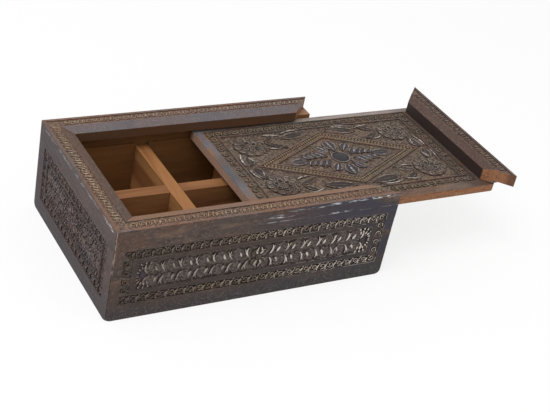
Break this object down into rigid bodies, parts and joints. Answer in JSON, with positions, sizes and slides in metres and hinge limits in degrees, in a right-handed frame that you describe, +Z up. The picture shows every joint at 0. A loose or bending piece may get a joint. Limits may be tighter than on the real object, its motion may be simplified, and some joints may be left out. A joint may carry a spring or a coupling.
{
  "type": "wooden box",
  "caption": "Carved rectangular wooden box with mitred walls, a sliding lid with a pull bar, and lapped inner dividers.",
  "frame": {"origin": "middle of the case's underside, on the bottom board", "axes": "+X along the case's length towards the end where the lid draws out, -Y to the front, +Z up"},
  "size_m": [0.447, 0.194, 0.0985],
  "materials": {
    "stained_wood": "dark umber stain, worn and carved",
    "rim_wood": "worn brown stain with carved band",
    "bare_wood": "bare planed wood",
    "board_wood": "bare sawn wood",
    "iron": "dull rusted iron"
  },
  "bodies": {
    "case": {"front_wall": "stained_wood", "rear_wall": "stained_wood", "left_wall": "stained_wood", "right_wall": "stained_wood", "bottom_board": "board_wood", "front_rim": "rim_wood", "rear_rim": "rim_wood", "left_rim": "rim_wood", "long_divider": "bare_wood", "cross_divider_left": "bare_wood", "cross_divider_right": "bare_wood", "bottom_nail_1": "iron", "bottom_nail_2": "iron", "bottom_nail_3": "iron", "bottom_nail_4": "iron", "bottom_nail_5": "iron", "bottom_nail_6": "iron", "bottom_nail_7": "iron", "bottom_nail_8": "iron", "bottom_nail_9": "iron", "bottom_nail_10": "iron"},
    "lid": {"lid_panel": "stained_wood", "lid_bar": "rim_wood", "bar_nail_1": "iron", "bar_nail_2": "iron", "bar_nail_3": "iron"}
  },
  "joints": [
    {"name": "lid_slide", "type": "slide", "parent": "case", "child": "lid", "axis": [1, 0, 0], "range_m": [-0.147, 0.124]}
  ]
}
